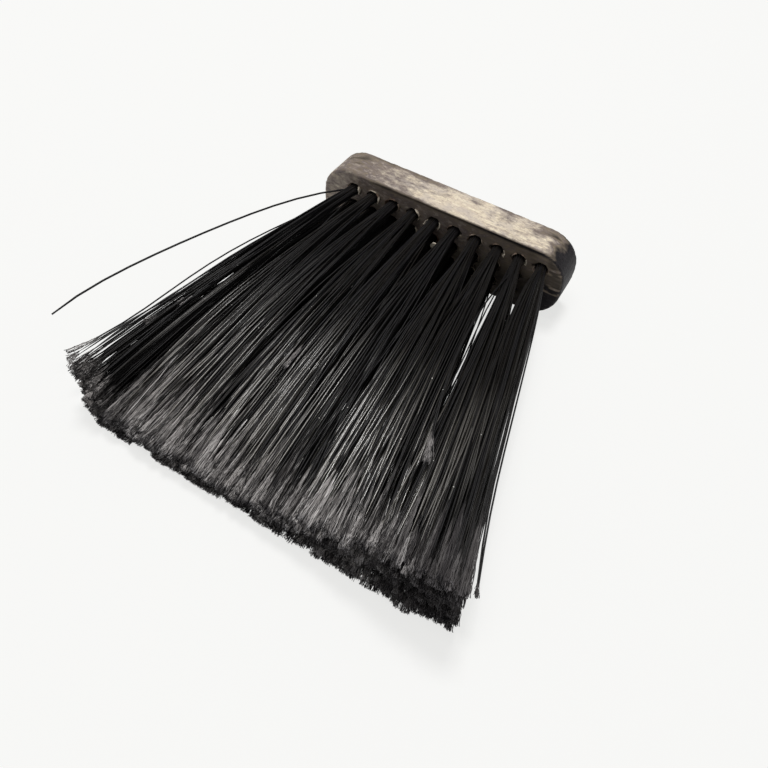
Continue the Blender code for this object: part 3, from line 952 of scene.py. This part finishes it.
def make_block(materials, holes):
    """The block, its surface finer than the CAD block's, its edges dented."""
    block = add_object("block_wood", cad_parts["block"].data.copy())
    remesh = block.modifiers.new("fine", "REMESH")
    remesh.mode = "VOXEL"
    remesh.voxel_size = FINE_STEP
    graph = bpy.context.evaluated_depsgraph_get()
    mesh = bpy.data.meshes.new_from_object(block.evaluated_get(graph))
    block.modifiers.clear()
    block.data = mesh
    points = read(mesh.vertices, "co", 3)
    normals = read(mesh.vertices, "normal", 3)
    wear_and_shade = block_wear_and_shade(points, normals)
    depth = np.maximum(wall_depth(points[:, 0], points[:, 2]), 0)
    face = np.minimum(points[:, 1] - BLOCK_LOW.y, BLOCK_HIGH.y - points[:, 1])
    edge = np.clip(1 - np.hypot(depth, np.maximum(face, 0)) / DENT_REACH, 0, 1)
    dents = np.maximum(noise_at(points, *DENT_NOISE), 0)
    waves = (1 + noise_at(points, *WAVE_NOISE)) / 2
    inward = edge * dents * DENT_DEPTH + waves * SURFACE_WAVE
    points -= normals * inward[:, None]
    mesh.vertices.foreach_set("co", points.ravel())
    layer = mesh.attributes.new("wear_and_shade", "FLOAT", "POINT")
    layer.data.foreach_set("value", wear_and_shade.astype(np.float32))
    mesh.materials.clear()
    for material in materials:
        mesh.materials.append(material)
    map_block(mesh, holes)
    mesh.shade_smooth()
    mesh.update()
    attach(block, "root")
    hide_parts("block")


def rim_rings(axes, middle, half_angle, height, lean, random):
    """The rings of a sliver of torn wood that stands up along a hole's rim."""
    mouth, outward, along, across = axes
    angles = np.radians(np.linspace(middle - half_angle, middle + half_angle, RIM_STEPS))
    heights = np.sin(np.linspace(0, np.pi, RIM_STEPS)) ** RIM_POWER * height
    heights = heights * random.uniform(*RIM_NOTCHES, RIM_STEPS) + RIM_GAP
    rings = []
    for angle, rise in zip(angles, heights):
        radial = np.cos(angle) * along + np.sin(angle) * across
        spot = mouth + radial * (HOLE_RADIUS + RIM_GAP)
        outer = spot + radial * RIM_THICKNESS
        top = outward * rise + radial * rise * lean
        rings.append((spot - outward * RIM_SINK, outer - outward * RIM_SINK,
                      outer + top - radial * RIM_THICKNESS * RIM_TOP_SHARE, spot + top))
    return rings


def splinter_rings(start, end, across):
    """The rings of a flat splinter between two places."""
    across = np.array(across)
    up = unit(np.cross(np.subtract(end, start), across)) * RIM_THICKNESS
    rings = []
    for middle, share in zip(np.linspace(start, end, len(SPLINTER_SHARES)), SPLINTER_SHARES):
        half = across * share
        rings.append((middle - half - up, middle + half - up, middle + half + up, middle - half + up))
    return rings


def make_torn_rims(materials, holes, random):
    """Torn wood that stands up round the holes' mouths."""
    slivers = []
    for name in holes:
        slivers += [(name, *sliver) for sliver in TORN_RIMS.get(name, ())]
        for middle in FAINT_RIM_MIDDLES:
            if random.uniform(0, 1) < FAINT_RIM_CHANCE:
                half_angle = random.uniform(*FAINT_RIM_HALF_ANGLE)
                middle += random.normal(0, FAINT_RIM_SCATTER)
                slivers.append((name, middle, half_angle, random.uniform(*RIM_HEIGHT), FAINT_RIM_TONE))
    shapes = []
    for name, middle, half_angle, height, tone, *lean in slivers:
        lean = lean[0] if lean else RIM_LEAN
        shapes.append((rim_rings(holes[name], middle, half_angle, height, lean, random), tone))
    shapes += [(splinter_rings(*places), tone) for *places, tone in SPLINTERS]
    soup = Soup()
    for (rings, tone), piece in zip(shapes, map_strips(len(shapes), 0, 1, RIM_MAP_ROWS)):
        rings = np.array(rings)
        soup.add_rings(rings[None], piece[None], first=1, inside_out=faces_in(rings), tone=tone)
    piece = soup.make("torn_rims", materials)
    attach(piece, "root")


class Nodes:
    """The nodes of a material or world, and short ways to add and join them."""

    def __init__(self, owner):
        owner.use_nodes = True
        self.owner = owner
        self.tree = owner.node_tree
        self.surface = self.tree.get_output_node("ALL").inputs["Surface"]
        self.shader = self.surface.links[0].from_node

    def link(self, source, target):
        """Join an output to an input, or set the input to a number, sizes or a colour."""
        if isinstance(source, bpy.types.NodeSocket):
            self.tree.links.new(source, target)
        elif target.type == "RGBA":
            target.default_value = (*source, 1)
        else:
            target.default_value = source

    def add(self, kind, inputs, **settings):
        """A node of a kind, with its settings and what goes into its inputs."""
        node = self.tree.nodes.new("ShaderNode" + kind)
        for key, value in settings.items():
            setattr(node, key, value)
        for key, source in inputs.items():
            self.link(source, node.inputs[key])
        return node

    def set(self, name, source):
        """Join an output to one of the shader's inputs, or set it."""
        self.link(source, self.shader.inputs[name])

    def place(self):
        """Each point's place on its piece."""
        return self.add("TexCoord", {}).outputs["Object"]

    def value(self, name):
        """A value that the mesh holds at each point."""
        return self.add("Attribute", {}, attribute_name=name).outputs["Fac"]

    def noise(self, sizes, detail, roughness=0.5):
        """Noise with features of those sizes along x, y and z, in metres."""
        place = self.add("VectorMath", {0: self.place(), 1: sizes}, operation="DIVIDE").outputs[0]
        inputs = {"Vector": place, "Scale": 1, "Detail": detail, "Roughness": roughness}
        return self.add("TexNoise", inputs).outputs["Fac"]

    def math(self, operation, first, second):
        """A sum on two numbers, kept between 0 and 1."""
        return self.add("Math", {0: first, 1: second}, operation=operation, use_clamp=True).outputs[0]

    def span(self, source, low, high, to_low=0.0, to_high=1.0):
        """A range of a value stretched to another range."""
        inputs = {"Value": source, "From Min": low, "From Max": high, "To Min": to_low, "To Max": to_high}
        return self.add("MapRange", inputs).outputs["Result"]

    def mix(self, share, first, second):
        """Two colours mixed."""
        return self.add("Mix", {0: share, 6: first, 7: second}, data_type="RGBA").outputs[2]

    def bump(self, height, distance):
        """Raise the surface by a height of up to that distance."""
        self.set("Normal", self.add("Bump", {"Distance": distance, "Height": height}).outputs[0])

    def show_to_camera(self, seen, share):
        """Let the camera see a share of another shader than the one that lights the scene."""
        share = self.math("MULTIPLY", self.add("LightPath", {}).outputs["Is Camera Ray"], share)
        mix = self.add("MixShader", {0: share, 1: self.shader.outputs[0], 2: seen.outputs[0]})
        self.link(mix.outputs[0], self.surface)


def make_bristle_material():
    """Black satin filament, dusty and with painted highlight streaks further out, brown-grey, dull and
    painted with shade where split.
    """
    nodes = Nodes(bpy.data.materials.new("bristle_filament"))
    mix, span, math = nodes.mix, nodes.span, nodes.math
    x = nodes.add("SeparateXYZ", {0: nodes.place()}).outputs["X"]
    tone, flag, along = (nodes.value(name) for name in ("tone", "flag", "along"))
    # Part of the shafts is painted pale towards the trim as highlight streaks, and is glossier there, but not
    # at the two edges
    inner = math("MULTIPLY", span(x, 0.062, 0.050), span(x, -0.051, -0.043))
    bright = math("MULTIPLY", span(tone, 0.54, 0.70), inner)
    painted_streaks = math("MULTIPLY", bright, span(along, 0.45, 0.9))
    shiny = math("MULTIPLY", bright, span(along, 0.50, 0.78))
    dusty = math("MULTIPLY", nodes.noise((0.0022, 0.012, 0.0022), 3), span(along, 0.4, 1, 0, 0.3))
    shaft = mix(dusty, mix(tone, BLACK_SHAFT, BROWN_SHAFT), DUST)
    shaft = mix(painted_streaks, shaft, HIGHLIGHT_STREAK_SHAFT)
    # Fibrils are pale, with painted shade in patches and at the right, and darker painted shade where their
    # ends are cut, lighter to the right
    fibril = mix(span(tone, 0.2, 0.85), DARK_FIBRIL, PALE_FIBRIL)
    fibril = mix(span(x, 0.042, 0.062, 0, 0.8), fibril, RIGHT_FIBRIL_SHADE)
    patches = span(nodes.noise((0.005, 0.006, 0.004), 2), 0.3, 0.7)
    fibril = mix(patches, mix(0.45, fibril, SHADED_FIBRIL), fibril)
    stub_shade = mix(span(x, -0.02, 0.06), LEFT_STUB_SHADE, RIGHT_STUB_SHADE)
    stub_shade = mix(span(tone, 0.3, 0.8), DARK_STUB_SHADE, stub_shade)
    fibril = mix(math("MULTIPLY", span(flag, 0.90, 0.98), 0.9), fibril, stub_shade)
    color = mix(span(flag, 0, 0.25), shaft, fibril)
    nodes.set("Base Color", mix(span(flag, 2, 2.5), color, SPECK))
    nodes.set("Specular IOR Level", span(shiny, 0, 1, 0.15, 1))
    nodes.set("IOR", 1.7)
    uneven = span(nodes.noise((0.001, 0.004, 0.001), 1), 0.3, 0.7, -0.03, 0.05)
    rough = math("ADD", span(bright, 0, 1, 0.42, 0.28), uneven)
    nodes.set("Roughness", span(flag, 0, 0.3, rough, 0.6))
    nodes.bump(nodes.noise((0.0006, 0.003, 0.0006), 2), BRISTLE_BUMP)
    return nodes.owner


def make_steel_material():
    """Plain steel strip, with drawing lines and a little rust."""
    nodes = Nodes(bpy.data.materials.new("anchor_steel"))
    rust = nodes.span(nodes.noise((0.001, 0.001, 0.001), 4, 0.65), 0.55, 0.7)
    nodes.set("Base Color", nodes.mix(rust, STEEL_COLOR, RUST))
    nodes.set("Metallic", 0.9)
    lines = nodes.noise((0.004, 0.0001, 0.0001), 2)
    nodes.set("Roughness", nodes.span(lines, 0.3, 0.7, 0.3, 0.55))
    nodes.bump(lines, STEEL_BUMP)
    return nodes.owner


def make_wood_material():
    """Hardwood with a dark stain that has worn off, so that the grain and its pores show, and painted shade
    on its face.
    """
    nodes = Nodes(bpy.data.materials.new("worn_wood"))
    mix, span, math = nodes.mix, nodes.span, nodes.math
    wear_and_shade = nodes.value("wear_and_shade")
    grain = nodes.noise((0.007, 0.0010, 0.0010), 5, 0.6)
    mottle = nodes.noise((0.0026, 0.0015, 0.0015), 5, 0.65)
    pores = span(nodes.noise((0.0013, 0.00025, 0.00025), 2), 0.60, 0.70)
    patches = nodes.noise((0.006, 0.0035, 0.0035), 3, 0.6)
    bare = mix(span(grain, 0.3, 0.7), DARK_GRAIN, PALE_GRAIN)
    bare = mix(span(mottle, 0.35, 0.58), MOTTLED_WOOD, bare)
    bare = mix(span(patches, 0.35, 0.55), GREYED_WOOD, bare)
    stain = mix(span(mottle, 0.35, 0.7), DARK_STAIN, PALE_STAIN)
    faded = mix(span(grain, 0.3, 0.75), DARK_FADED_STAIN, PALE_FADED_STAIN)
    stain = mix(span(wear_and_shade, 0.03, 0.25), stain, faded)
    edge = math("ADD", wear_and_shade, span(mottle, 0.25, 0.75, -0.22, 0.22))
    thin = mix(span(patches, 0.3, 0.7), DARK_THIN_STAIN, PALE_THIN_STAIN)
    stain = mix(span(edge, 0.20, 0.36), stain, thin)
    color = mix(span(edge, 0.34, 0.74), stain, bare)
    nodes.set("Base Color", mix(math("MULTIPLY", pores, 0.5), color, PORE))
    nodes.set("Specular IOR Level", 0.2)
    nodes.set("Roughness", span(edge, 0.1, 0.8, 0.55, 0.78))
    ridges = math("SUBTRACT", span(grain, 0.2, 0.8), math("MULTIPLY", pores, 0.8))
    ridges = math("MULTIPLY", ridges, 0.6)
    nodes.bump(math("ADD", ridges, math("MULTIPLY", mottle, 0.4)), WOOD_BUMP)
    return nodes.owner


def make_torn_material():
    """Freshly torn wood, pale and fibrous, and red-brown where it is in shadow."""
    nodes = Nodes(bpy.data.materials.new("torn_wood"))
    fibres = nodes.noise((0.0001, 0.0006, 0.0001), 2)
    pale = nodes.mix(nodes.span(fibres, 0.3, 0.7), DARK_TORN_WOOD, PALE_TORN_WOOD)
    nodes.set("Base Color", nodes.mix(nodes.span(nodes.value("tone"), 0.05, 0.7), RED_TORN_WOOD, pale))
    nodes.set("Roughness", nodes.span(fibres, 0.3, 0.7, 0.45, 0.75))
    nodes.bump(fibres, TORN_BUMP)
    return nodes.owner


def make_camera():
    """The photograph's camera."""
    data = bpy.data.cameras.new("camera")
    data.lens = CAMERA_LENS
    data.sensor_width = SENSOR_WIDTH
    data.clip_start = CLIP_START
    camera = add_object("camera", data)
    camera.location = CAMERA_PLACE
    camera.rotation_euler = [radians(angle) for angle in CAMERA_TURN]
    bpy.context.scene.camera = camera


def make_world():
    """Soft light from all round, and a plain pale background."""
    world = bpy.data.worlds.new("world")
    bpy.context.scene.world = world
    nodes = Nodes(world)
    nodes.set("Color", (1, 1, 1))
    nodes.set("Strength", SKY_LIGHT)
    nodes.show_to_camera(nodes.add("Background", {"Color": SKY_SEEN}), 1)


def make_floor():
    """A pale floor under the head."""
    mesh = bpy.data.meshes.new("floor")
    side = FLOOR_HALF_SIDE
    spots = ((-side, -side), (side, -side), (side, side), (-side, side))
    corners = [(x, y, FLOOR_Z - FLOOR_GAP) for x, y in spots]
    mesh.from_pydata(corners, [], [(0, 1, 2, 3)])
    floor = add_object("floor", mesh)
    nodes = Nodes(bpy.data.materials.new("floor"))
    nodes.set("Base Color", FLOOR_COLOR)
    nodes.set("Roughness", FLOOR_ROUGHNESS)
    nodes.show_to_camera(nodes.add("Emission", {"Color": FLOOR_SEEN}), FLOOR_SEEN_SHARE)
    mesh.materials.append(nodes.owner)


def make_light(name, place, size, power):
    """An area light aimed at the bristles."""
    data = bpy.data.lights.new(name, "AREA")
    data.shape = "SQUARE"
    data.size = size
    data.energy = power
    light = add_object(name, data)
    light.location = place
    light.rotation_euler = (Vector(LIGHT_TARGET) - Vector(place)).to_track_quat("-Z", "Y").to_euler()


make_camera()
make_world()
make_floor()
for name, settings in LIGHTS.items():
    make_light(name, *settings)
tufts = {name: read_tuft(name) for name in TUFT_NAMES}
holes = {name: hole_axes(*tuft[2]) for name, tuft in tufts.items()}
make_block([make_wood_material()], list(holes.values()))
make_torn_rims([make_torn_material()], holes, np.random.default_rng(SEED))
bristle_materials = [make_bristle_material(), make_steel_material()]
for index, (name, tuft) in enumerate(tufts.items()):
    seed = SEED + ROW_SEED_STEP * (index // COLUMNS) + index % COLUMNS
    make_tuft(name, tuft, bristle_materials, np.random.default_rng(seed))
bpy.context.scene.view_settings.view_transform = "Standard"
